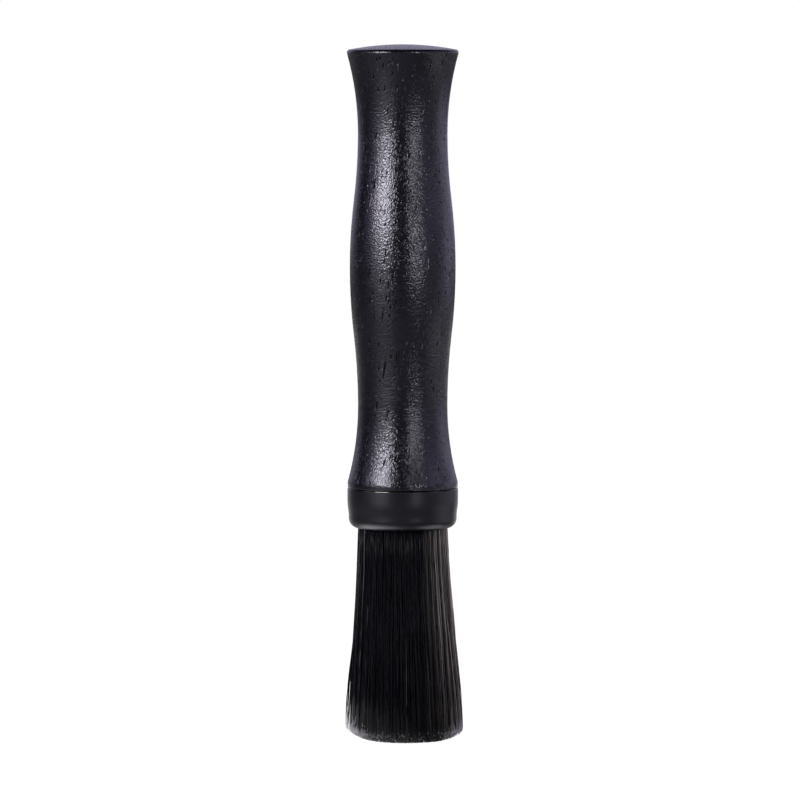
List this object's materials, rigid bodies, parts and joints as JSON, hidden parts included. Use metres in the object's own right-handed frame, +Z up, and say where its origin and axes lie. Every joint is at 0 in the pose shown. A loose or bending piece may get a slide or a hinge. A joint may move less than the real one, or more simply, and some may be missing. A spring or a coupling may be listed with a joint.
{
  "type": "barista brush",
  "caption": "Round upright counter brush for coffee grounds, with a turned black wooden handle, a black aluminium ferrule and a dense flared bundle of trimmed bristles.",
  "frame": {"origin": "middle of the trimmed bristle tips that the brush stands on", "axes": "+Z runs up the brush's axis from the tips to the domed end of the handle; X and Y are arbitrary, because the brush is round"},
  "size_m": [0.0309, 0.0311, 0.18],
  "materials": {
    "stained_wood": "black stain under satin lacquer, open pores",
    "black_aluminium": "satin black anodised",
    "resin": "cast, as poured",
    "bristle": "fine black bristle with paler tips"
  },
  "bodies": {
    "root": {"handle": "stained_wood", "ferrule": "black_aluminium", "root_plug": "resin", "bristle_bundle": "bristle"}
  },
  "joints": []
}
